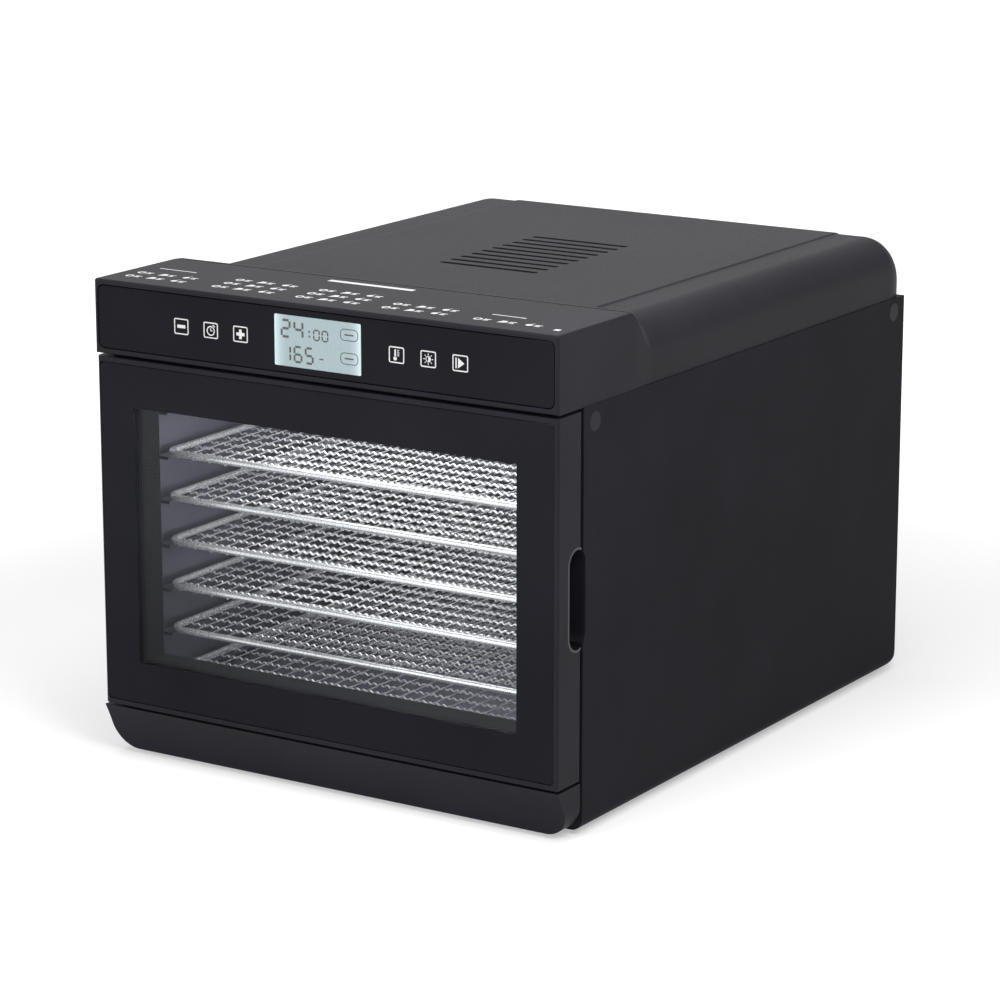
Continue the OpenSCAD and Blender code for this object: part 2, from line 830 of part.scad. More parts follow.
module board_posts() {
    color([0.85, 0.85, 0.8]) {
        power_post_places(post_r, y_liner + liner_t, power_y);
        power_post_places(post_r / 2, power_y - past, power_y + board_t + post_tail);
    }
}

module lamp_cut(grow, z0, z1) {
    block([-lamp_half.x - grow, lamp_y - lamp_half.y - grow, z0],
          [lamp_half.x + grow, lamp_y + lamp_half.y + grow, z1]);
}

module lamp_lens() {
    color([0.95, 0.95, 0.9, 0.6]) {
        lamp_cut(lens_rim, z_liner[1] - lens_t, z_liner[1]);
        lamp_cut(-fit, z_liner[1] - lens_step, z_liner[1] + liner_t);
    }
}

module lamp_housing() {
    z0 = z_liner[1] + liner_t;
    color([0.85, 0.85, 0.86]) difference() {
        lamp_cut(lamp_case_wall, z0, lamp_top);
        lamp_cut(0, z0 - past, lamp_top - lamp_case_t);
    }
}

module lamp_board() {
    z0 = lamp_top - lamp_case_t - board_t;
    color([0.9, 0.9, 0.85]) {
        lamp_cut(-1, z0, z0 + board_t);
        for (i = [-1 : 1])
            block([i * led_pitch - led_half, lamp_y - led_half, z0 - led_h],
                  [i * led_pitch + led_half, lamp_y + led_half, z0 + sink]);
    }
}

// ---- Control housing ----

module control_housing() {
    half = x_side - 0.5;
    front_y = y_front + panel_t + wall_t;
    rear_y = y_box - wall_t;
    color([0.22, 0.22, 0.23]) difference() {
        union() {
            difference() {
                block([-half, y_front, z_box], [half, y_box, body_h]);
                block([-half + wall_t, front_y, z_box + wall_t], [half - wall_t, rear_y, body_h - wall_t]);
                block([-x_liner, y_frame, z_box - past], [x_liner, rear_y - 4, z_box + wall_t + past]);
            }
            translate([hinge_x, hinge_y, z_box]) cylinder(h = hinge_in, r = hinge_pin_r + 3);
        }
        block([-panel_x - fit, y_front - past, panel_z[0] - fit],
              [panel_x + fit, y_front + panel_t, panel_z[1] + fit]);
        block([-panel_x + 4, y_front, panel_z[0] + 4], [panel_x - 4, front_y + past, panel_z[1] - 4]);
        translate([hinge_x, hinge_y, z_box - past]) cylinder(h = hinge_in + past, r = hinge_pin_r + run_fit);
    }
}

module control_panel() {
    y0 = y_front + 0.3;
    y1 = y_front + panel_t;
    color([0.03, 0.03, 0.035]) {
        difference() {
            block([-panel_x, y0, panel_z[0]], [panel_x, y1, panel_z[1]]);
            block([-display_w / 2, y0 - past, key_z - display_h / 2],
                  [display_w / 2, y1 + past, key_z + display_h / 2]);
        }
        for (s = [-1, 1], z = [panel_z[0] + panel_post_in.y, panel_z[1] - panel_post_in.y])
            rod_y(s * (panel_x - panel_post_in.x), z, panel_post_r, y1 - sink, board_y);
    }
}

module display() {
    color([0.75, 0.82, 0.83])
        block([-display_w / 2 + fit, y_front + 0.6, key_z - display_h / 2 + fit],
              [display_w / 2 - fit, board_y, key_z + display_h / 2 - fit]);
}

module touch_pads() {
    color([0.8, 0.8, 0.82]) for (s = [-1, 1], i = [0 : 2])
        rod_y(s * (key_x + i * key_pitch), key_z, 4, y_front + panel_t, board_y);
}

module control_board() {
    half = panel_x - 8;
    color([0.1, 0.35, 0.16]) {
        block([-half, board_y, panel_z[0] + 4.5], [half, board_y + board_t, panel_z[1] - 4.5]);
        rod_y(-key_x / 2 - 10, key_z, 6, board_y + board_t - 0.1, board_y + board_t + 7);
        block([30, board_y + board_t - 0.1, key_z - 8], [46, board_y + board_t + 2, key_z + 8]);
    }
}

// ---- Top cover ----

// Rounded cover outline, inset for the inner face
module cover_form(inset, z0) {
    half = x_side - 1 - inset;
    r = shoulder_r - inset;
    top = z_cover - inset;
    y1 = y_rear - 1 - inset;
    intersection() {
        along_y(y_box + inset / 2, y1) {
            area([-half, z0], [half, top - r]);
            area([-half + r, z0], [half - r, top]);
            for (s = [-1, 1]) translate([s * (half - r), top - r]) circle(r);
        }
        along_x(-x_side, x_side) {
            area([y_box, z0], [y1, top - r]);
            area([y_box, z0], [y1 - r, top]);
            translate([y1 - r, top - r]) circle(r);
        }
        block([-x_side, y_box, z0], [x_side, y_rear, body_h]);
    }
}

module top_cover() {
    vent_span = (vent_rows - 1) * vent_pitch;
    vent_y = min(y_front + vent_mid - vent_span / 2, y_rear - 2 * shoulder_r - vent_span);
    color([0.24, 0.24, 0.25]) difference() {
        cover_form(0, z_box);
        difference() {
            cover_form(wall_t, z_box - past);
            block([-x_side, y_box, z_box - past], [x_side, y_box + wall_t, body_h]);
        }
        for (i = [0 : vent_rows - 1]) translate([0, vent_y + i * vent_pitch, z_cover - 5])
            linear_extrude(10) slot_2d(vent_w, slot_w);
    }
}

// ---- Door ----

// The finger slot: a stadium in the side, grown by a wall
module slot_cutter(grow) {
    r = slot_d / 2 + grow;
    along_x(x_side - slot_in - grow, x_side + past) translate([slot_y, slot_z]) rotate([0, 0, 90])
        slot_2d(slot_h + 2 * grow, 2 * r);
}

// 2D plan of the door: small radii at the free edge and larger ones at the hinge edge
module door_plan(y1) {
    r = door_edge_r;
    q = 1.5;
    area([-x_side + r, y_front], [x_side - q, y1]);
    area([-x_side, y_front + r], [x_side, y_door - r]);
    area([x_side - 2 * q, y_front + q], [x_side, y1 - q]);
    for (y = [y_front + r, y_door - r]) translate([-x_side + r, y]) circle(r);
    for (y = [y_front + q, y1 - q]) translate([x_side - q, y]) circle(q);
}

module door_frame() {
    glass_low = [-x_side + glass_rim, z_door[0] + glass_rim];
    glass_high = [x_side - glass_rim, z_door[1] - glass_rim];
    hole_low = [-x_side + stile_w, z_door[0] + rail_h];
    hole_high = [x_side - stile_w, z_door[1] - rail_h];
    y_web = glass_y[1] + web_t;
    in = wall_t + 1;
    hub = 2 * hinge_x_in;
    color([0.2, 0.2, 0.21]) difference() {
        translate([0, 0, z_door[0]]) linear_extrude(z_door[1] - z_door[0]) door_plan(y_door);
        along_y(y_front - past, glass_y[1]) round_area(glass_low, glass_high, 3);
        along_y(y_front, y_door + past) area(hole_low, hole_high);
        along_y(y_web, y_door + past) difference() {
            area([-x_side + in, z_door[0] + in], [x_side - in, z_door[1] - in]);
            area(hole_low - [wall_t, wall_t], hole_high + [wall_t, wall_t]);
            for (z = [z_door[0] + hinge_bush_h / 2 + 1, z_door[1] - hinge_bush_h / 2 - 1])
                translate([hinge_x, z]) square([hub, hinge_bush_h + 4], center = true);
        }
        slot_cutter(insert_t);
        for (z = [z_door[0] - past, z_door[1] - hinge_bush_h]) translate([hinge_x, hinge_y, z])
            cylinder(h = hinge_bush_h + past, r = hinge_bush_r + run_fit);
    }
}

module door_glass() {
    low = [-x_side + glass_rim + fit, z_door[0] + glass_rim + fit];
    high = [x_side - glass_rim - fit, z_door[1] - glass_rim - fit];
    color([0.1, 0.12, 0.13, 0.4]) along_y(glass_y[0], glass_y[1]) round_area(low, high, 3);
}

// Rear cover of the door, which closes its hollow frame
module door_inner_frame() {
    in = wall_t + 1 + fit;
    w = stile_w - wall_t - fit;
    hub = 2 * hinge_x_in + 1;
    color([0.1, 0.1, 0.11]) difference() {
        along_y(y_door - cover_plate_t, y_door) difference() {
            ring([-x_side + in, z_door[0] + in], [x_side - in, z_door[1] - in],
                 [-x_side + w, z_door[0] + rail_h - wall_t - fit],
                 [x_side - w, z_door[1] - rail_h + wall_t + fit]);
            for (z = [z_door[0] + hinge_bush_h / 2 + 1, z_door[1] - hinge_bush_h / 2 - 1])
                translate([hinge_x, z]) square([hub, hinge_bush_h + 5], center = true);
        }
        slot_cutter(insert_t + fit);
        for (z = magnet_z) magnet_block(z, fit / 2);
    }
}

module magnet_block(z, grow) {
    half = [magnet_size.x / 2 + grow, 0, magnet_size.z / 2 + grow];
    x = magnet_x - magnet_shift;
    block([x, y_door - magnet_size.y + magnet_sink - grow, z] - half, [x, y_door, z] + half);
}

module door_magnets() {
    color([0.3, 0.3, 0.32]) for (z = magnet_z) magnet_block(z, 0);
}

module door_gasket() {
    x = x_liner + 0.5;
    low = [-x, z_mouth[0] - 0.5];
    high = [x, z_mouth[1] + 0.5];
    w = [gasket_w, gasket_w];
    color([0.45, 0.45, 0.46]) along_y(y_door, y_body - gasket_seat) ring(low - w, high + w, low, high);
}

// Insert that lines the door's part of the finger slot
module door_handle() {
    color([0.04, 0.04, 0.045]) difference() {
        intersection() {
            slot_cutter(insert_t - run_fit);
            block([0, y_front, z_door[0]], [x_side, y_door, z_door[1]]);
        }
        slot_cutter(0);
    }
}

module hinge_bushes() {
    color([0.85, 0.85, 0.82]) for (top = [false, true]) {
        z = top ? z_door[1] : z_door[0];
        translate([hinge_x, hinge_y, z]) mirror([0, 0, top ? 1 : 0]) difference() {
            union() {
                cylinder(h = hinge_bush_h - fit, r = hinge_bush_r);
                translate([0, 0, -hinge_flange_t]) cylinder(h = hinge_flange_t, r = hinge_bush_r + 1);
            }
            translate([0, 0, -door_gap]) cylinder(h = hinge_bush_h + 2 * door_gap, r = hinge_pin_r + run_fit);
        }
    }
}

module hinge_pins() {
    len = 2 * hinge_in + door_gap;
    color("silver") for (z = [z_plinth - hinge_in + fit, z_box + hinge_in - fit - len])
        translate([hinge_x, hinge_y, z]) cylinder(h = len, r = hinge_pin_r);
}

rubber_feet();
foot_screws();
base_pan();
left_side_panel();
right_side_panel();
side_plugs();
rear_panel();
rear_screws();
cord_gland();
front_plinth();
front_frame();
catch_plates();
chamber_liner();
left_tray_rails();
right_tray_rails();
air_baffle();
fan_impeller();
motor_shaft();
motor_rotor();
motor_stator();
motor_bracket();
motor_rear_strap();
motor_bearings();
heater_blocks();
heater_element();
thermostat();
temperature_sensor();
power_board();
board_posts();
lamp_lens();
lamp_housing();
lamp_board();
control_housing();
control_panel();
display();
touch_pads();
control_board();
top_cover();
door_frame();
door_glass();
door_inner_frame();
door_gasket();
door_handle();
door_magnets();
hinge_bushes();
hinge_pins();
for (k = [1 : tray_count]) tray(k);
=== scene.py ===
"""Looks of a countertop food dehydrator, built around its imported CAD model."""

import math

import bmesh
import bpy
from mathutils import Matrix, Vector


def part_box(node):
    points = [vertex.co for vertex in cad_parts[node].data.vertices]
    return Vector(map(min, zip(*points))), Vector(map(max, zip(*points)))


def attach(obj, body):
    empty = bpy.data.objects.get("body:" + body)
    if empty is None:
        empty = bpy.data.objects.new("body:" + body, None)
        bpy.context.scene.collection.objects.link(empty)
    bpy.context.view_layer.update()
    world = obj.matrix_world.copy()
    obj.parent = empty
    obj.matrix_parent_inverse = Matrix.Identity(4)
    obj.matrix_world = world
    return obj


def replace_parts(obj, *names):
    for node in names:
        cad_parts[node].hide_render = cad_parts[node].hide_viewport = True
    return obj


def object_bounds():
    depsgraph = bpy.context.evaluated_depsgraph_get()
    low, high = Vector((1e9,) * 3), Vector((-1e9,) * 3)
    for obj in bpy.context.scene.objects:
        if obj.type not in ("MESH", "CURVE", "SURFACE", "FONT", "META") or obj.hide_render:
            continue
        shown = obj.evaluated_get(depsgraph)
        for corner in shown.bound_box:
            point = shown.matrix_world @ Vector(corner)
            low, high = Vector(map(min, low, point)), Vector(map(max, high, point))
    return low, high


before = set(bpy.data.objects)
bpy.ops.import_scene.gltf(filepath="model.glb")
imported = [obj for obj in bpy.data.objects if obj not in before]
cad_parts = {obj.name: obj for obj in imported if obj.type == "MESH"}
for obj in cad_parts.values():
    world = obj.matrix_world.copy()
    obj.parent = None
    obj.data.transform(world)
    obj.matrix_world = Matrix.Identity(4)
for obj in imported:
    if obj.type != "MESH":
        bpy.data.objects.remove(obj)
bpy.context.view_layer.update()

MM = 0.001

# Camera
CAMERA_PLACE = (1.26784, -2.00357, 0.73728)
CAMERA_TILT = math.radians(76.0096)
CAMERA_TURN = math.radians(32.5707)
CAMERA_LENS = 131.95
CAMERA_SENSOR = 36.0

# Housing
COVER_SCOOP = 24 * MM
COVER_STEPS = 10
COVER_EDGE_R = 3 * MM
COVER_SHOULDER_R = 22 * MM
COVER_REAR_R = 20 * MM
COVER_CORNER_R = 6 * MM
COVER_CREASE = 21 * MM
COVER_CREASE_STEP = 0.8 * MM
COVER_WALL = 2.2 * MM
VENT_ROWS = 10
VENT_PITCH = 12.6 * MM
VENT_START = -32.7 * MM
VENT_LENGTH = 75 * MM
VENT_WIDTH = 5 * MM
HOUSING_TOP_GAP = 0.1 * MM
PANEL_CORNER_R = 4 * MM
PANEL_POCKET_GAP = 0.6 * MM
PANEL_FLOOR_IN = 4.5 * MM
PRINT_THICK = 0.06 * MM

# Door window, half width and lowest and highest point
WINDOW_HALF = 143 * MM
WINDOW_Z = (66.9 * MM, 234.6 * MM)
GLASS_CORNER_R = 3 * MM

# Trays
RIM_R = 2.3 * MM
RIM_CORNER_R = 10 * MM
WIRE_R = 0.6 * MM
LONG_WIRE_R = 0.42 * MM
CRIMP = 0.75 * MM
CRIMP_PERIOD = 5.12 * MM
CRIMP_POINTS = 6
ROW_PITCH = 15.6 * MM
LONG_PITCH = 12.8 * MM
TRAY_COUNT = 7
FLIPPED_TRAYS = (3, 6, 7)


# ---- Materials ----


def node_kit(name):
    """A new material with its node tree, links and shader."""
    material = bpy.data.materials.new(name)
    material.use_nodes = True
    tree = material.node_tree
    return material, tree, tree.nodes["Principled BSDF"]


def object_noise(tree, scale, detail=3.0, stretch=(1.0, 1.0, 1.0)):
    """A noise texture on object coordinates, and its height output."""
    place = tree.nodes.new("ShaderNodeTexCoord")
    mapping = tree.nodes.new("ShaderNodeMapping")
    mapping.inputs["Scale"].default_value = stretch
    noise = tree.nodes.new("ShaderNodeTexNoise")
    noise.inputs["Scale"].default_value = scale
    noise.inputs["Detail"].default_value = detail
    tree.links.new(place.outputs["Object"], mapping.inputs["Vector"])
    tree.links.new(mapping.outputs["Vector"], noise.inputs["Vector"])
    return noise.outputs["Fac"]


def spread(tree, value, low, high):
    """Maps a noise height to a range of numbers."""
    ranged = tree.nodes.new("ShaderNodeMapRange")
    ranged.inputs["From Min"].default_value = 0.3
    ranged.inputs["From Max"].default_value = 0.7
    ranged.inputs["To Min"].default_value = low
    ranged.inputs["To Max"].default_value = high
    tree.links.new(value, ranged.inputs["Value"])
    return ranged.outputs["Result"]


def tint(tree, value, dark, light):
    """Maps a noise height to a colour between two."""
    ramp = tree.nodes.new("ShaderNodeValToRGB")
    ramp.color_ramp.elements[0].position = 0.3
    ramp.color_ramp.elements[1].position = 0.7
    ramp.color_ramp.elements[0].color = (*dark, 1.0)
    ramp.color_ramp.elements[1].color = (*light, 1.0)
    tree.links.new(value, ramp.inputs["Fac"])
    return ramp.outputs["Color"]


def roughen(tree, shader, value, distance, strength):
    """A bump of that height, in metres, on the shader's normal."""
    bump = tree.nodes.new("ShaderNodeBump")
    bump.inputs["Strength"].default_value = strength
    bump.inputs["Distance"].default_value = distance
    tree.links.new(value, bump.inputs["Height"])
    tree.links.new(bump.outputs["Normal"], shader.inputs["Normal"])


def surface(name, dark, light, rough, grain, cloud=14.0, bump=0.00005, strength=0.5, metal=0.0,
            gloss=0.5, coat=0.0, stretch=(1.0, 1.0, 1.0)):
    """A plain moulded, painted or metal finish: colour and gloss clouds with a fine grain."""
    material, tree, shader = node_kit(name)
    clouds = object_noise(tree, cloud, 4.0)
    fine = object_noise(tree, grain, 3.0, stretch)
    tree.links.new(tint(tree, clouds, dark, light), shader.inputs["Base Color"])
    tree.links.new(spread(tree, fine, rough[0], rough[1]), shader.inputs["Roughness"])
    shader.inputs["Metallic"].default_value = metal
    shader.inputs["Specular IOR Level"].default_value = gloss
    shader.inputs["Coat Weight"].default_value = coat
    roughen(tree, shader, fine, bump, strength)
    return material


def grey(level, blue=1.0):
    """A neutral colour, a little cooler where blue is over 1."""
    return (level, level, level * blue)


def window_glass():
    """Clear tempered glass: what is behind it shows, with the reflection of a pane."""
    material, tree, shader = node_kit("window_glass")
    tree.nodes.remove(shader)
    output = tree.nodes["Material Output"]
    clear = tree.nodes.new("ShaderNodeBsdfTransparent")
    clear.inputs["Color"].default_value = (0.93, 0.94, 0.95, 1.0)
    mirror = tree.nodes.new("ShaderNodeBsdfGlossy")
    mirror.inputs["Roughness"].default_value = 0.03
    edge = tree.nodes.new("ShaderNodeFresnel")
    edge.inputs["IOR"].default_value = 1.18
    mix = tree.nodes.new("ShaderNodeMixShader")
    smear = object_noise(tree, 9.0)
    tree.links.new(spread(tree, smear, 0.02, 0.05), mirror.inputs["Roughness"])
    tree.links.new(edge.outputs["Fac"], mix.inputs["Fac"])
    tree.links.new(clear.outputs["BSDF"], mix.inputs[1])
    tree.links.new(mirror.outputs["BSDF"], mix.inputs[2])
    tree.links.new(mix.outputs["Shader"], output.inputs["Surface"])
    return material


def display_light():
    """The face of a lit liquid crystal display, brighter at its left and right edges."""
    material, tree, shader = node_kit("display_light")
    place = tree.nodes.new("ShaderNodeTexCoord")
    parts = tree.nodes.new("ShaderNodeSeparateXYZ")
    reach = tree.nodes.new("ShaderNodeMath")
    reach.operation = "ABSOLUTE"
    ramp = tree.nodes.new("ShaderNodeValToRGB")
    ramp.color_ramp.elements[0].position = 0.026
    ramp.color_ramp.elements[1].position = 0.031
    ramp.color_ramp.elements[0].color = (0.24, 0.305, 0.315, 1.0)
    ramp.color_ramp.elements[1].color = (0.42, 0.52, 0.54, 1.0)
    tree.links.new(place.outputs["Object"], parts.inputs["Vector"])
    tree.links.new(parts.outputs["X"], reach.inputs[0])
    tree.links.new(reach.outputs["Value"], ramp.inputs["Fac"])
    tree.links.new(ramp.outputs["Color"], shader.inputs["Base Color"])
    tree.links.new(ramp.outputs["Color"], shader.inputs["Emission Color"])
    shader.inputs["Emission Strength"].default_value = 0.35
    fine = object_noise(tree, 900.0)
    tree.links.new(spread(tree, fine, 0.25, 0.35), shader.inputs["Roughness"])
    return material


def make_materials():
    """Every finish, by the record's slot name or by the name of the piece that wears it."""
    wear = {"grain": 1500.0, "bump": 0.00006}
    brushed = (1.0, 1.0, 18.0)
    return {
        "body_paint": surface("body_paint", grey(0.014, 1.25), grey(0.018, 1.25), (0.45, 0.55), 2200.0,
                              bump=0.00004, gloss=0.02),
        "body_plastic": surface("body_plastic", grey(0.013, 1.3), grey(0.017, 1.3), (0.4, 0.5),
                                gloss=0.06, **wear),
        "dark_plastic": surface("dark_plastic", grey(0.006, 1.3), grey(0.009, 1.3), (0.45, 0.6),
                                gloss=0.15, **wear),
        "back_sheet": surface("back_sheet", grey(0.016, 1.08), grey(0.022, 1.08), (0.42, 0.55), 1800.0,
                              gloss=0.4),
        "panel_gloss": surface("panel_gloss", grey(0.006, 1.5), grey(0.008, 1.5), (0.05, 0.09), 260.0,
                               bump=0.000002, strength=0.1, gloss=0.06),
        "glass_black": surface("glass_black", grey(0.007, 1.5), grey(0.009, 1.5), (0.04, 0.07), 200.0,
                               bump=0.000002, strength=0.1, gloss=0.06),
        "door_glass": window_glass(),
        "display_face": display_light(),
        "segments": surface("segments", grey(0.05), grey(0.07), (0.3, 0.4), 900.0),
        "print_white": surface("print_white", grey(0.62), grey(0.7), (0.35, 0.5), 1400.0),
        "print_grey": surface("print_grey", grey(0.62), grey(0.72), (0.4, 0.5), 1400.0),
        "slot_insert": surface("slot_insert", grey(0.003), grey(0.005), (0.25, 0.4), 1200.0, gloss=0.5),
        "black_rubber": surface("black_rubber", grey(0.011), grey(0.018), (0.6, 0.8), 1300.0,
                                bump=0.0001, gloss=0.3),
        "gasket_rubber": surface("gasket_rubber", grey(0.10), grey(0.14), (0.55, 0.7), 1300.0, gloss=0.3),
        "zinc_steel": surface("zinc_steel", grey(0.45), grey(0.58), (0.25, 0.4), 900.0, metal=1.0),
        "magnet_steel": surface("magnet_steel", grey(0.3), grey(0.4), (0.3, 0.45), 900.0, metal=1.0),
        "liner_steel": surface("liner_steel", (0.24, 0.24, 0.3), (0.32, 0.32, 0.39), (0.28, 0.42), 160.0,
                               metal=0.9, bump=0.00003, strength=0.3, stretch=brushed),
        "tray_wire": surface("tray_wire", grey(0.84), grey(0.92), (0.22, 0.34), 1400.0, metal=0.65,
                             bump=0.00002, strength=0.3),
        "fan_alloy": surface("fan_alloy", grey(0.5), grey(0.62), (0.3, 0.45), 800.0, metal=1.0),
        "motor_iron": surface("motor_iron", (0.16, 0.11, 0.08), (0.24, 0.17, 0.12), (0.4, 0.6), 700.0,
                              metal=0.6),
        "bearing_bronze": surface("bearing_bronze", (0.42, 0.26, 0.1), (0.55, 0.36, 0.16), (0.25, 0.4),
                                  900.0, metal=1.0),
        "ceramic": surface("ceramic", (0.62, 0.59, 0.5), (0.72, 0.69, 0.61), (0.5, 0.7), 900.0),
        "heater_tube": surface("heater_tube", (0.09, 0.08, 0.075), (0.16, 0.14, 0.12), (0.35, 0.55), 900.0,
                               metal=0.8),
        "sensor_metal": surface("sensor_metal", grey(0.5), grey(0.62), (0.2, 0.35), 900.0, metal=1.0),
        "circuit_board": surface("circuit_board", (0.01, 0.09, 0.03), (0.02, 0.14, 0.05), (0.35, 0.5),
                                 500.0, cloud=90.0),
        "lamp_lens": surface("lamp_lens", grey(0.75), grey(0.85), (0.3, 0.45), 900.0),
        "lamp_case": surface("lamp_case", grey(0.6), grey(0.7), (0.4, 0.55), 900.0),
        "bush_plastic": surface("bush_plastic", grey(0.55), grey(0.64), (0.45, 0.6), 900.0),
    }


FINISH = make_materials()


# ---- Mesh helpers ----


def add_piece(name, shape, finish, body, smooth=30, weigh=True):
    """Turns a bmesh into a named piece that rides on a body."""
    bmesh.ops.recalc_face_normals(shape, faces=shape.faces)
    mesh = bpy.data.meshes.new(name)
    shape.to_mesh(mesh)
    shape.free()
    mesh.shade_smooth()
    mesh.set_sharp_from_angle(angle=math.radians(smooth))
    mesh.materials.append(FINISH[finish])
    piece = bpy.data.objects.new(name, mesh)
    bpy.context.scene.collection.objects.link(piece)
    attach(piece, body)
    if weigh:
        even_normals(piece)
    return piece


def round_rect(low, high, radius, steps=6):
    """The points of a rectangle with round corners, anticlockwise from its lower right."""
    points = []
    corners = ((high[0] - radius, low[1] + radius, -90), (high[0] - radius, high[1] - radius, 0),
               (low[0] + radius, high[1] - radius, 90), (low[0] + radius, low[1] + radius, 180))
    for x, z, start in corners:
        for i in range(steps + 1):
            angle = math.radians(start + 90 * i / steps)
            points.append((x + radius * math.cos(angle), z + radius * math.sin(angle)))
    return points


def loop_at(shape, outline, y):
    """One vertex for each point of an outline in X and Z, at that Y."""
    return [shape.verts.new((x, y, z)) for x, z in outline]


def bridge(shape, first, second):
    """Quads between two closed loops of as many vertices."""
    count = len(first)
    for i in range(count):
        j = (i + 1) % count
        shape.faces.new((first[i], first[j], second[j], second[i]))


def plate(outline, front, back, round_by, hole=None):
    """A flat plate along Y with a rounded front edge, and a hole of as many points if given."""
    shape = bmesh.new()
    middle = (sum(p[0] for p in outline) / len(outline), sum(p[1] for p in outline) / len(outline))

    def pulled(points, by):
        half = (max(p[0] for p in points) - middle[0], max(p[1] for p in points) - middle[1])
        scale = (1 - by / half[0], 1 - by / half[1])
        return [(middle[0] + (x - middle[0]) * scale[0], middle[1] + (z - middle[1]) * scale[1])
                for x, z in points]

    rims = [loop_at(shape, pulled(outline, round_by), front),
            loop_at(shape, pulled(outline, round_by * 0.3), front + round_by * 0.3),
            loop_at(shape, outline, front + round_by), loop_at(shape, outline, back)]
    for first, second in zip(rims, rims[1:]):
        bridge(shape, first, second)
    if hole is None:
        shape.faces.new(rims[0])
        shape.faces.new(rims[-1])
        return shape
    inner = [loop_at(shape, hole, front), loop_at(shape, hole, back)]
    bridge(shape, rims[0], inner[0])
    bridge(shape, rims[-1], inner[1])
    bridge(shape, inner[0], inner[1])
    return shape


def tube(shape, points, radius, sides, closed=False):
    """A round wire along points, made of rings that keep their place across the path."""
    rings = []
    count = len(points)
    for i, point in enumerate(points):
        before = points[i - 1] if closed or i > 0 else point
        after = points[(i + 1) % count] if closed or i < count - 1 else point
        along = (Vector(after) - Vector(before)).normalized()
        level = Vector((-along.y, along.x, 0)).normalized()
        up = along.cross(level)
        rings.append([shape.verts.new(Vector(point) + radius * (level * math.cos(a) + up * math.sin(a)))
                      for a in (2 * math.pi * k / sides for k in range(sides))])
    for first, second in zip(rings, rings[1:] + rings[:1] if closed else rings[1:]):
        bridge(shape, first, second)
    if not closed:
        shape.faces.new(rings[0])
        shape.faces.new(rings[-1])


def even_normals(piece):
    """Keeps large faces flat in shading beside their rounded edges."""
    normals = piece.modifiers.new("normals", "WEIGHTED_NORMAL")
    normals.weight = 100
    normals.keep_sharp = True


def soften(node, width, angle=35, segments=2):
    """Rounds the sharp edges of a CAD node or a piece with modifiers."""
    weld = node.modifiers.new("weld", "WELD")
    weld.merge_threshold = 0.00001
    bevel = node.modifiers.new("bevel", "BEVEL")
    bevel.width = width
    bevel.segments = segments
    bevel.limit_method = "ANGLE"
    bevel.angle_limit = math.radians(angle)
    bevel.use_clamp_overlap = True
    node.data.shade_smooth()
    even_normals(node)


def subtract(piece, cutter):
    """Cuts one mesh from another for good."""
    cut = piece.modifiers.new("cut", "BOOLEAN")
    cut.operation = "DIFFERENCE"
    cut.solver = "EXACT"
    cut.object = cutter
    graph = bpy.context.evaluated_depsgraph_get()
    made = bpy.data.meshes.new_from_object(piece.evaluated_get(graph))
    piece.modifiers.clear()
    piece.data = made
    bpy.data.objects.remove(cutter)


# ---- Flat prints ----


def stroke(points, width, closed=False):
    """The quads of a line of that width through 2D points."""
    quads = []
    ends = list(zip(points, points[1:] + points[:1])) if closed else list(zip(points, points[1:]))
    for (x0, y0), (x1, y1) in ends:
        length = math.hypot(x1 - x0, y1 - y0)
        nx = -(y1 - y0) / length * width / 2
        ny = (x1 - x0) / length * width / 2
        quads.append([(x0 - nx, y0 - ny), (x1 - nx, y1 - ny), (x1 + nx, y1 + ny), (x0 + nx, y0 + ny)])
    return quads


def circle(cx, cy, radius, steps=20):
    """Points round a circle."""
    return [(cx + radius * math.cos(2 * math.pi * i / steps), cy + radius * math.sin(2 * math.pi * i / steps))
            for i in range(steps)]


def arc_band(outline, inner):
    """Quads between two closed outlines of as many points."""
    count = len(outline)
    return [[outline[i], outline[(i + 1) % count], inner[(i + 1) % count], inner[i]] for i in range(count)]


def frame_band(cx, cy, half_w, half_h, radius, width):
    """The band of a rounded square outline."""
    outer = round_rect((cx - half_w, cy - half_h), (cx + half_w, cy + half_h), radius, 4)
    inside = (half_w - width, half_h - width)
    inner = round_rect((cx - inside[0], cy - inside[1]), (cx + inside[0], cy + inside[1]),
                       max(radius - width, 0.1 * MM), 4)
    return arc_band(outer, inner)


def print_piece(name, polygons, finish, to_space, lift, body):
    """A thin raised print: each 2D polygon becomes a prism from the surface outward."""
    shape = bmesh.new()
    rise = Vector(lift)
    for polygon in polygons:
        low = [shape.verts.new(to_space(u, v)) for u, v in polygon]
        high = [shape.verts.new(Vector(to_space(u, v)) + rise) for u, v in polygon]
        shape.faces.new(high)
        shape.faces.new(low)
        bridge(shape, low, high)
    return add_piece(name, shape, finish, body)


# ---- Housing ----


def blend_curve(t):
    """Smooth step from 0 to 1."""
    return t * t * (3 - 2 * t)


def cover_section(half, low, top, radius, crease, drop):
    """Half the outline of the cover across X, mirrored: wall, shoulder, strip, crease and flat top."""
    right = [(half, low), (half, low + 0.5 * MM), (half, (low + top - radius) / 2)]
    for i in range(13):
        angle = math.radians(90 * i / 12)
        right.append((half - radius + radius * math.cos(angle), top - drop - radius + radius * math.sin(angle)))
    edge = half - radius - crease
    right += [(edge + 1.2 * MM, top - drop), (edge + 0.6 * MM, top - drop * 0.8),
              (edge, top - drop * 0.1), (edge - 1.2 * MM, top), (edge * 0.5, top)]
    return right + [(-x, z) for x, z in reversed(right)]


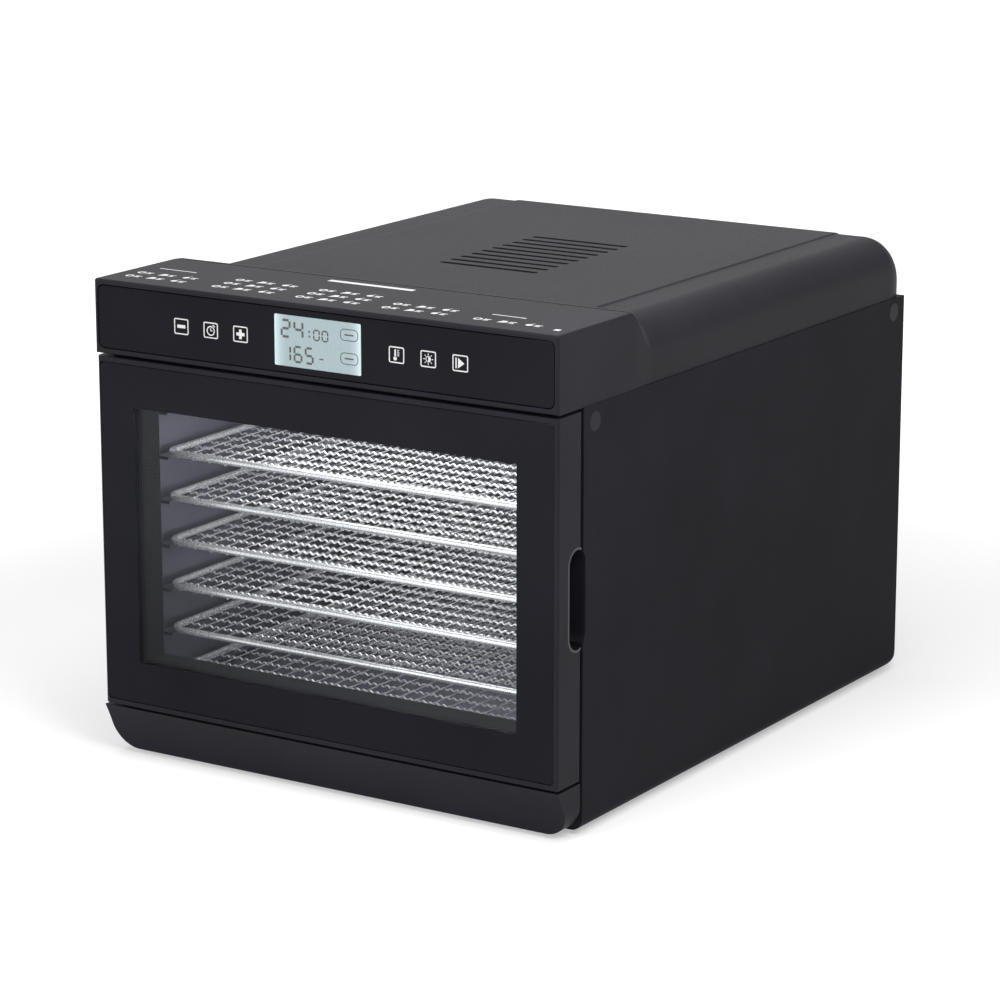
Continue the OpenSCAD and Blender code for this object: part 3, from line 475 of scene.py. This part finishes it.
def cover_sections():
    """The cover's outlines from the control housing, over its scoop, to its rounded rear edge."""
    low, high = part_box("top_cover")
    housing_low, housing_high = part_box("control_housing")
    start = housing_high.y
    sections = []
    for i in range(COVER_STEPS + 1):
        t = blend_curve(i / COVER_STEPS)
        half = housing_high.x + t * (high.x - housing_high.x)
        top = housing_high.z - HOUSING_TOP_GAP + t * (high.z - housing_high.z + HOUSING_TOP_GAP)
        radius = COVER_EDGE_R + t * (COVER_SHOULDER_R - COVER_EDGE_R)
        sections.append((start + COVER_SCOOP * i / COVER_STEPS, half, top, radius, COVER_CREASE_STEP * t))
    for i in range(9):
        angle = math.radians(90 * i / 8)
        drop = COVER_REAR_R * (1 - math.cos(angle))
        half = high.x - COVER_CORNER_R * (1 - math.cos(angle))
        top = high.z - drop
        radius = min(COVER_SHOULDER_R, top - low.z - 2 * MM)
        crease_step = COVER_CREASE_STEP * math.cos(angle)
        sections.append((high.y - COVER_REAR_R + COVER_REAR_R * math.sin(angle), half, top, radius, crease_step))
    return low.z, sections


def make_top_cover():
    """The pressed cover behind the control housing, with its air slots."""
    low_z, sections = cover_sections()
    shape = bmesh.new()
    rings = []
    for y, half, top, radius, drop in sections:
        outline = cover_section(half, low_z, top, radius, COVER_CREASE, drop)
        rings.append(loop_at(shape, outline, y))
    for first, second in zip(rings, rings[1:]):
        for i in range(len(first) - 1):
            shape.faces.new((first[i], first[i + 1], second[i + 1], second[i]))
    shape.faces.new(rings[-1])
    cover = add_piece("top_cover_shell", shape, "body_plastic", "housing", 25)
    wall = cover.modifiers.new("wall", "SOLIDIFY")
    wall.thickness = COVER_WALL
    wall.offset = -1
    slots = bmesh.new()
    for i in range(VENT_ROWS):
        y = VENT_START + i * VENT_PITCH
        outline = round_rect((-VENT_LENGTH / 2, y - VENT_WIDTH / 2), (VENT_LENGTH / 2, y + VENT_WIDTH / 2),
                             VENT_WIDTH / 2.02)
        top = sections[-9][2]
        low = [slots.verts.new((x, v, top - 8 * MM)) for x, v in outline]
        high = [slots.verts.new((x, v, top + 8 * MM)) for x, v in outline]
        slots.faces.new(low)
        slots.faces.new(high)
        bridge(slots, low, high)
    bmesh.ops.recalc_face_normals(slots, faces=slots.faces)
    mesh = bpy.data.meshes.new("slots")
    slots.to_mesh(mesh)
    slots.free()
    cutter = bpy.data.objects.new("slots", mesh)
    bpy.context.scene.collection.objects.link(cutter)
    subtract(cover, cutter)
    cover.data.shade_smooth()
    cover.data.set_sharp_from_angle(angle=math.radians(25))
    even_normals(cover)
    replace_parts(cover, "top_cover")


def make_control_housing():
    """The box that holds the controls, with a pocket for the panel in its front."""
    low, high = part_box("control_housing")
    panel_low, panel_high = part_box("control_panel")
    top = high.z - HOUSING_TOP_GAP
    gap = PANEL_POCKET_GAP
    pocket = round_rect((panel_low.x - gap, panel_low.z - gap), (panel_high.x + gap, panel_high.z + gap),
                        PANEL_CORNER_R + gap)
    shape = bmesh.new()
    corners = [(high.x, low.z), (high.x, top), (low.x, top), (low.x, low.z)]
    front = loop_at(shape, corners, low.y)
    back = loop_at(shape, corners, high.y)
    bridge(shape, front, back)
    shape.faces.new(back)
    mouth = loop_at(shape, pocket, low.y)
    floor = loop_at(shape, pocket, panel_high.y - PANEL_FLOOR_IN)
    steps = len(pocket) // 4
    for k, corner in enumerate(front):
        run = mouth[k * steps:(k + 1) * steps]
        for first, second in zip(run, run[1:]):
            shape.faces.new((corner, first, second))
        shape.faces.new((corner, run[-1], mouth[((k + 1) * steps) % len(mouth)], front[(k + 1) % 4]))
    bridge(shape, mouth, floor)
    shape.faces.new(floor)
    keep = 0.01 * MM
    edges = []
    for edge in shape.edges:
        ends = [v.co for v in edge.verts]
        on_front = all(abs(p.y - low.y) < keep for p in ends)
        outer = all(abs(abs(p.x) - high.x) < keep for p in ends)
        on_top = all(abs(p.z - top) < keep for p in ends)
        on_low = all(abs(p.z - low.z) < keep for p in ends)
        if (on_front and (outer or on_top or on_low)) or (outer and on_top):
            edges.append(edge)
    bmesh.ops.bevel(shape, geom=edges, offset=1.6 * MM, segments=4, profile=0.5, affect="EDGES")
    housing = add_piece("control_housing_shell", shape, "body_plastic", "housing", 35)
    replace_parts(housing, "control_housing")


def make_control_panel():
    """The glossy plate of the control panel; the display and the keys' symbols are made on their own."""
    low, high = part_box("control_panel")
    face = round_rect((low.x, low.z), (high.x, high.z), PANEL_CORNER_R)
    panel = add_piece("control_panel_face", plate(face, low.y, high.y - PANEL_FLOOR_IN, 0.5 * MM), "panel_gloss",
                      "housing")
    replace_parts(panel, "control_panel")

# The seven bars of a digit, by number, in the order top, upper right, lower right, bottom, lower left,
# upper left, middle
DIGIT_BARS = {"0": "1111110", "1": "0110000", "2": "1101101", "4": "0110011", "5": "1011011",
              "6": "1011111"}
KEY_PLACES = (-103.6, -80.8, -58.0, 58.0, 80.8, 103.6)
KEY_Z = 291 * MM
KEY_HALF = (5.55 * MM, 5.05 * MM)
KEY_LINE = 0.75 * MM


def digit(mark, x, z, width, height, bar):
    """The bars of one seven-bar digit from its lower left corner."""
    half = height / 2
    spots = (((x, z + height), (x + width, z + height)), ((x + width, z + height), (x + width, z + half)),
             ((x + width, z + half), (x + width, z)), ((x, z), (x + width, z)), ((x, z + half), (x, z)),
             ((x, z + height), (x, z + half)), ((x, z + half), (x + width, z + half)))
    quads = []
    for lit, (start, end) in zip(DIGIT_BARS[mark], spots):
        if lit == "1":
            short = 0.12
            inside = [(start[0] + (end[0] - start[0]) * short, start[1] + (end[1] - start[1]) * short),
                      (start[0] + (end[0] - start[0]) * (1 - short), start[1] + (end[1] - start[1]) * (1 - short))]
            quads += stroke(inside, bar)
    return quads


def number(text, x, z, width, height, bar, step):
    """Several digits in a row."""
    quads = []
    for i, mark in enumerate(text):
        quads += digit(mark, x + i * step, z, width, height, bar)
    return quads


def make_display():
    """The lit display with its digits and two plain rounded outlines."""
    low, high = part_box("display")
    panel_low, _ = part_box("control_panel")
    front = panel_low.y - PRINT_THICK
    face = round_rect((low.x, low.z), (high.x, high.z), 0.8 * MM)
    shape = plate(face, front, high.y - PANEL_FLOOR_IN, 0.05 * MM)
    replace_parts(add_piece("display_lit", shape, "display_face", "housing"), "display")
    left = low.x + 5.5 * MM
    bars = number("24", left, low.z + 18.4 * MM, 6.0 * MM, 10.2 * MM, 1.5 * MM, 9.6 * MM)
    bars += number("00", left + 24 * MM, low.z + 18.4 * MM, 4.0 * MM, 6.2 * MM, 1.0 * MM, 6.3 * MM)
    bars += [circle(left + 20.6 * MM, low.z + z * MM, 0.7 * MM, 8) for z in (20.2, 23.2)]
    bars += number("165", left + 1 * MM, low.z + 3.4 * MM, 5.2 * MM, 9.4 * MM, 1.4 * MM, 8.4 * MM)
    bars += stroke([(left + 28 * MM, low.z + 7 * MM), (left + 31 * MM, low.z + 7 * MM)], 0.8 * MM)
    for z in (24.2, 9.6):
        bars += frame_band(high.x - 8.6 * MM, low.z + z * MM, 6.6 * MM, 3.7 * MM, 3.0 * MM, 0.5 * MM)
        bars += stroke([(high.x - 12 * MM, low.z + z * MM), (high.x - 5.4 * MM, low.z + z * MM)], 0.9 * MM)
    print_piece("display_digits", bars, "segments", lambda u, v: (u, front, v), (0, -PRINT_THICK, 0),
                "housing")


def key_symbol(kind, x):
    """The strokes inside one key's outline."""
    z = KEY_Z
    wide, tall = 3.1 * MM, 3.0 * MM
    if kind == "minus":
        return stroke([(x - wide, z), (x + wide, z)], 2.0 * MM)
    if kind == "plus":
        return (stroke([(x - wide, z), (x + wide, z)], 2.0 * MM)
                + stroke([(x, z - tall), (x, z - 1.0 * MM)], 2.0 * MM)
                + stroke([(x, z + 1.0 * MM), (x, z + tall)], 2.0 * MM))
    if kind == "clock":
        ring = arc_band(circle(x, z - 0.3 * MM, 3.1 * MM), circle(x, z - 0.3 * MM, 2.4 * MM))
        hands = stroke([(x, z + 1.5 * MM), (x, z - 0.3 * MM), (x + 1.3 * MM, z - 0.3 * MM)], 0.6 * MM)
        return ring + hands + stroke([(x + 1.6 * MM, z + 3.4 * MM), (x + 3.3 * MM, z + 2.4 * MM)], 0.7 * MM)
    if kind == "heat":
        bulb = [circle(x - 1.0 * MM, z - 2.2 * MM, 1.3 * MM, 14)]
        stem = stroke([(x - 1.0 * MM, z - 1.4 * MM), (x - 1.0 * MM, z + 3.3 * MM)], 1.1 * MM)
        ticks = []
        for k in range(4):
            height = z + (k * 1.1 - 0.4) * MM
            ticks += stroke([(x + 0.5 * MM, height), (x + 1.9 * MM, height)], 0.45 * MM)
        return bulb + stem + ticks
    if kind == "light":
        half = [(x + 1.5 * MM * math.cos(math.radians(a)), z + 1.5 * MM * math.sin(math.radians(a)))
                for a in range(-90, 91, 15)]
        ring = arc_band(circle(x, z, 1.9 * MM), circle(x, z, 1.45 * MM))
        rays = []
        for k in range(8):
            c, s = math.cos(math.pi * k / 4), math.sin(math.pi * k / 4)
            rays += stroke([(x + 2.4 * MM * c, z + 2.4 * MM * s), (x + 3.5 * MM * c, z + 3.5 * MM * s)], 0.5 * MM)
        return [half] + ring + rays
    triangle = [(x - 1.6 * MM, z - 3.2 * MM), (x + 2.9 * MM, z), (x - 1.6 * MM, z + 3.2 * MM)]
    return [triangle] + stroke([(x - 3.0 * MM, z - 3.2 * MM), (x - 3.0 * MM, z + 3.2 * MM)], 0.9 * MM)


def make_key_prints():
    """Six outlined keys with their symbols."""
    panel_low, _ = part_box("control_panel")
    kinds = ("minus", "clock", "plus", "heat", "light", "start")
    shapes = []
    for kind, place in zip(kinds, KEY_PLACES):
        x = place * MM
        shapes += frame_band(x, KEY_Z, KEY_HALF[0], KEY_HALF[1], 1.2 * MM, KEY_LINE)
        shapes += key_symbol(kind, x)
    print_piece("key_prints", shapes, "print_white", lambda u, v: (u, panel_low.y, v),
                (0, -PRINT_THICK, 0), "housing")


# ---- Marks on the housing's top ----


def food_mark(kind, x, y):
    """A small generic shape and two plain bars beside it."""
    size = 3.0 * MM
    if kind % 3 == 0:
        shape = arc_band(circle(x, y, size, 12), circle(x, y, size * 0.55, 12))
    elif kind % 3 == 1:
        shape = [[(x - size, y - size), (x + size, y - size * 0.4), (x + size * 0.5, y + size), (x - size * 0.6, y + size)]]
    else:
        shape = [circle(x, y, size * 0.8, 7)] + stroke([(x, y + size * 0.9), (x + size * 0.5, y + size * 1.6)], 0.6 * MM)
    bars = []
    for row, length in ((1.6, 4.6), (0.0, 3.4), (-1.6, 4.0)):
        start = x + 4.0 * MM
        bars += stroke([(start, y + row * MM), (start + length * MM, y + row * MM)], 1.0 * MM)
    return shape + bars


MARK_GROUPS = ((-158, 2, 3, 17.5), (-90, 3, 3, 17.5), (-26, 3, 3, 17.5), (38, 2, 3, 17.5), (104, 1, 3, 18.0))
MARK_FRONT = -214
MARK_ROW = 12.5


def make_top_marks():
    """Rows of small pictograms with plain bars where a real one has words."""
    _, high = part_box("control_housing")
    top = high.z - HOUSING_TOP_GAP
    shapes = []
    kind = 0
    for start, rows, columns, step in MARK_GROUPS:
        for row in range(rows):
            for column in range(columns):
                x = (start + column * step) * MM
                y = (MARK_FRONT + 8 + row * MARK_ROW) * MM
                shapes += food_mark(kind, x, y)
                kind += 1
    shapes += stroke([(-42 * MM, -152 * MM), (22 * MM, -152 * MM)], 4.6 * MM)
    shapes += stroke([(-157 * MM, -176 * MM), (-128 * MM, -176 * MM)], 1.2 * MM)
    shapes += stroke([(104 * MM, -190 * MM), (128 * MM, -190 * MM)], 1.2 * MM)
    shapes += stroke([(160 * MM, -210 * MM), (164 * MM, -210 * MM)], 3.6 * MM)
    print_piece("top_prints", shapes, "print_grey", lambda u, v: (u, v, top), (0, 0, PRINT_THICK),
                "housing")


# ---- Door ----


def make_door_glass():
    """The pane: clear in its window, with a black printed border."""
    low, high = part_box("door_glass")
    rim = round_rect((low.x, low.z), (high.x, high.z), GLASS_CORNER_R)
    window = round_rect((-WINDOW_HALF, WINDOW_Z[0]), (WINDOW_HALF, WINDOW_Z[1]), 0.8 * MM)
    border = add_piece("door_glass_border", plate(rim, low.y, high.y, 0.7 * MM, window), "glass_black", "door")
    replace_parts(border, "door_glass")
    add_piece("door_window", plate(window, low.y + 0.02 * MM, high.y - 0.02 * MM, 0.01 * MM), "door_glass", "door")


# ---- Trays ----


def crimped_row(shape, left, right, y, level, shift):
    """One crimped wire across the tray."""
    step = CRIMP_PERIOD / CRIMP_POINTS
    count = int((right - left) / step)
    points = []
    for i in range(count + 1):
        x = left + i * step
        wave = math.sin(2 * math.pi * (x + shift) / CRIMP_PERIOD)
        points.append((x, y, level + CRIMP * wave))
    tube(shape, points, WIRE_R, 5)


def tray_shape(number, side):
    """A rim rod with round corners, its long straight wires, and crimped wires across them."""
    low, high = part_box(f"tray_{number}")
    middle = (low.z + high.z) / 2
    shape = bmesh.new()
    inset = RIM_R
    outline = round_rect((low.x + inset, low.y + inset), (high.x - inset, high.y - inset),
                         RIM_CORNER_R, 8)
    tube(shape, [(x, y, middle) for x, y in outline], RIM_R, 12, closed=True)
    level = middle + side * 1.5 * MM
    half = int(high.x / LONG_PITCH - 0.4)
    for i in range(-half, half + 1):
        x = i * LONG_PITCH
        z = middle + side * (RIM_R + WIRE_R * 0.4)
        points = [(x, low.y + 1.2 * MM, z), (x, low.y + 5 * MM, z), (x, high.y - 5 * MM, z), (x, high.y - 1.2 * MM, z)]
        tube(shape, points, LONG_WIRE_R, 6)
    rows = int((high.y - low.y - 2 * RIM_R) / ROW_PITCH)
    start = (low.y + high.y) / 2 - (rows - 1) * ROW_PITCH / 2
    for j in range(rows):
        crimped_row(shape, low.x + RIM_R, high.x - RIM_R, start + j * ROW_PITCH, level,
                    CRIMP_PERIOD / 2 * (j % 2))
    return shape


def make_trays():
    """Seven wire trays; some lie the other way up, as they were slid in."""
    for number in range(1, TRAY_COUNT + 1):
        side = 1 if number in FLIPPED_TRAYS else -1
        shape = tray_shape(number, side)
        tray = add_piece(f"wire_tray_{number}", shape, "tray_wire", f"tray_{number}", 60, weigh=False)
        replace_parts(tray, f"tray_{number}")


# ---- Nodes that keep their CAD shape ----

NODE_FINISHES = {
    "body_paint": ("left_side_panel", "right_side_panel"),
    "body_plastic": ("front_plinth", "door_frame"),
    "dark_plastic": ("base_pan", "front_frame", "door_inner_frame", "side_plugs"),
    "back_sheet": ("rear_panel",),
    "slot_insert": ("door_handle",),
    "black_rubber": ("rubber_feet", "cord_gland"),
    "gasket_rubber": ("door_gasket",),
    "zinc_steel": ("foot_screws", "rear_screws", "catch_plates", "hinge_pins", "motor_shaft", "motor_bracket",
                   "motor_rear_strap", "touch_pads"),
    "magnet_steel": ("door_magnets",),
    "liner_steel": ("chamber_liner", "air_baffle", "left_tray_rails", "right_tray_rails"),
    "fan_alloy": ("fan_impeller",),
    "motor_iron": ("motor_rotor", "motor_stator"),
    "bearing_bronze": ("motor_bearings",),
    "ceramic": ("heater_blocks", "board_posts"),
    "heater_tube": ("heater_element",),
    "sensor_metal": ("thermostat", "temperature_sensor"),
    "circuit_board": ("power_board", "control_board", "lamp_board"),
    "lamp_lens": ("lamp_lens",),
    "lamp_case": ("lamp_housing",),
    "bush_plastic": ("hinge_bushes",),
}
# Edge rounding, in millimetres, of the nodes whose edges show
NODE_EDGES = {"front_plinth": 0.9, "door_frame": 0.6, "left_side_panel": 0.35, "right_side_panel": 0.35,
              "front_frame": 0.4, "door_inner_frame": 0.4, "chamber_liner": 0.3}


def finish_nodes():
    """Gives every CAD node that still shows its finish, and rounds the edges that show."""
    for finish, names in NODE_FINISHES.items():
        for name in names:
            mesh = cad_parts[name].data
            mesh.materials.clear()
            mesh.materials.append(FINISH[finish])
    for name, width in NODE_EDGES.items():
        soften(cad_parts[name], width * MM)


# ---- Studio ----


def background_rays(tree):
    """1 for camera, glossy and transmission rays, else 0."""
    path = tree.nodes.new("ShaderNodeLightPath")
    first = tree.nodes.new("ShaderNodeMath")
    first.operation = "MAXIMUM"
    second = tree.nodes.new("ShaderNodeMath")
    second.operation = "MAXIMUM"
    tree.links.new(path.outputs["Is Camera Ray"], first.inputs[0])
    tree.links.new(path.outputs["Is Glossy Ray"], first.inputs[1])
    tree.links.new(first.outputs["Value"], second.inputs[0])
    tree.links.new(path.outputs["Is Transmission Ray"], second.inputs[1])
    return second.outputs["Value"]


WORLD_LIGHT = 0.15
FLOOR_GLOW = 0.42
FLOOR_FADE = (0.4, 1.1)


def make_world():
    """White behind the object, and a plain grey light round it."""
    world = bpy.data.worlds.new("studio")
    world.use_nodes = True
    tree = world.node_tree
    shader = tree.nodes["Background"]
    shader.inputs["Color"].default_value = (1.0, 1.0, 1.0, 1.0)
    ranged = tree.nodes.new("ShaderNodeMapRange")
    ranged.inputs["To Min"].default_value = WORLD_LIGHT
    ranged.inputs["To Max"].default_value = 1.0
    tree.links.new(background_rays(tree), ranged.inputs["Value"])
    tree.links.new(ranged.outputs["Result"], shader.inputs["Strength"])
    bpy.context.scene.world = world


def make_floor():
    """A pale floor that fades to the white background and keeps the object's shadow."""
    low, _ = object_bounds()
    shape = bmesh.new()
    half = 12.0
    ring = [shape.verts.new((x, y, low[2])) for x, y in ((-half, -half), (half, -half), (half, half), (-half, half))]
    shape.faces.new(ring)
    mesh = bpy.data.meshes.new("floor")
    shape.to_mesh(mesh)
    shape.free()
    floor = bpy.data.objects.new("floor", mesh)
    bpy.context.scene.collection.objects.link(floor)
    material, tree, shader = node_kit("floor")
    tree.links.new(tint(tree, object_noise(tree, 3.0), grey(0.6), grey(0.62)), shader.inputs["Base Color"])
    shader.inputs["Roughness"].default_value = 0.9
    shader.inputs["Specular IOR Level"].default_value = 0.1
    shader.inputs["Emission Color"].default_value = (1.0, 1.0, 1.0, 1.0)
    place = tree.nodes.new("ShaderNodeTexCoord")
    far = tree.nodes.new("ShaderNodeVectorMath")
    far.operation = "LENGTH"
    fade = tree.nodes.new("ShaderNodeMapRange")
    fade.interpolation_type = "SMOOTHSTEP"
    fade.inputs["From Min"].default_value = FLOOR_FADE[0]
    fade.inputs["From Max"].default_value = FLOOR_FADE[1]
    fade.inputs["To Min"].default_value = FLOOR_GLOW
    fade.inputs["To Max"].default_value = 1.0
    tree.links.new(place.outputs["Object"], far.inputs[0])
    tree.links.new(far.outputs["Value"], fade.inputs["Value"])
    glow = tree.nodes.new("ShaderNodeMath")
    glow.operation = "MULTIPLY"
    tree.links.new(fade.outputs["Result"], glow.inputs[1])
    tree.links.new(background_rays(tree), glow.inputs[0])
    tree.links.new(glow.outputs["Value"], shader.inputs["Emission Strength"])
    mesh.materials.append(material)


def add_lamp(name, place, target, size, power):
    """A square soft lamp that faces a point."""
    data = bpy.data.lights.new(name, "AREA")
    data.shape = "RECTANGLE"
    data.size, data.size_y = size
    data.energy = power
    lamp = bpy.data.objects.new(name, data)
    lamp.location = place
    lamp.rotation_euler = (Vector(target) - Vector(place)).to_track_quat("-Z", "Y").to_euler()
    bpy.context.scene.collection.objects.link(lamp)
    return lamp


def make_lights():
    """An overhead soft box, a front fill, and the chamber's own lamp."""
    middle = (0, 0, 0.15)
    add_lamp("overhead", (0.1, -0.3, 1.7), middle, (1.4, 1.4), 22)
    add_lamp("side", (0.8, -0.6, 0.85), (0.17, -0.1, 0.28), (0.5, 0.5), 8)
    add_lamp("front", (-0.3, -1.7, 0.75), middle, (0.9, 0.6), 14)
    low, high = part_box("lamp_lens")
    place = ((low.x + high.x) / 2, (low.y + high.y) / 2 - 0.02, low.z - 0.004)
    add_lamp("chamber", place, (place[0], place[1] + 0.01, 0.0), (0.2, 0.12), 0.34)


def make_camera():
    """The photograph's viewing angle."""
    data = bpy.data.cameras.new("camera")
    data.lens = CAMERA_LENS
    data.sensor_width = CAMERA_SENSOR
    camera = bpy.data.objects.new("camera", data)
    camera.location = CAMERA_PLACE
    camera.rotation_euler = (CAMERA_TILT, 0, CAMERA_TURN)
    bpy.context.scene.collection.objects.link(camera)
    bpy.context.scene.camera = camera


# ---- Build ----


def main():
    scene = bpy.context.scene
    scene.view_settings.view_transform = "Standard"
    make_camera()
    make_world()
    make_floor()
    make_lights()
    finish_nodes()
    make_top_cover()
    make_control_housing()
    make_control_panel()
    make_display()
    make_key_prints()
    make_top_marks()
    make_door_glass()
    make_trays()


main()
